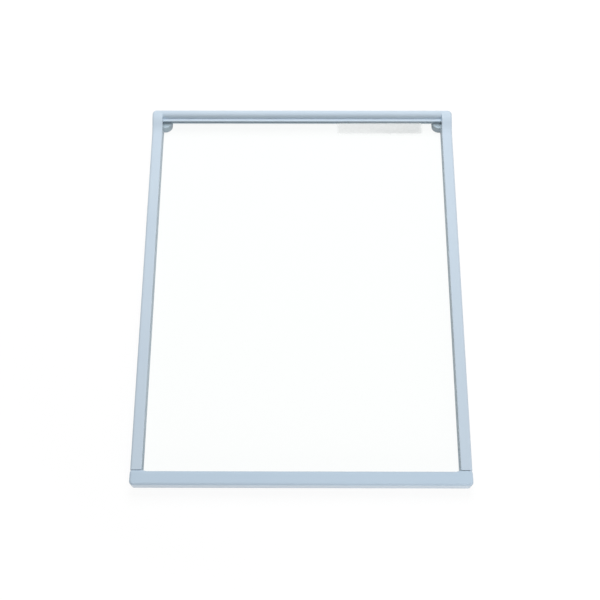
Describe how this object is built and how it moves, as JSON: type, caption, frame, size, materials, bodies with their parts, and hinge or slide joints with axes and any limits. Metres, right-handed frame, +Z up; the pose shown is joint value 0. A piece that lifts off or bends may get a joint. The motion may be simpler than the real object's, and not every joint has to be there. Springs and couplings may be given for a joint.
{
  "type": "freezer shelf",
  "caption": "Glass freezer shelf: a clear tempered pane in a pale moulded frame, with a rounded back-stop along the rear and a wider clip-on trim across the front.",
  "frame": {"origin": "middle of the outline, on the plane that the shelf rests on", "axes": "+X to the right, +Y to the back of the freezer, +Z up"},
  "size_m": [0.3504, 0.44, 0.0224],
  "materials": {
    "frame_plastic": "satin moulded plastic, pale ice blue",
    "shelf_glass": "clear tempered glass"
  },
  "bodies": {
    "root": {"glass_pane": "shelf_glass", "u_frame": "frame_plastic", "front_trim": "frame_plastic"}
  },
  "joints": []
}
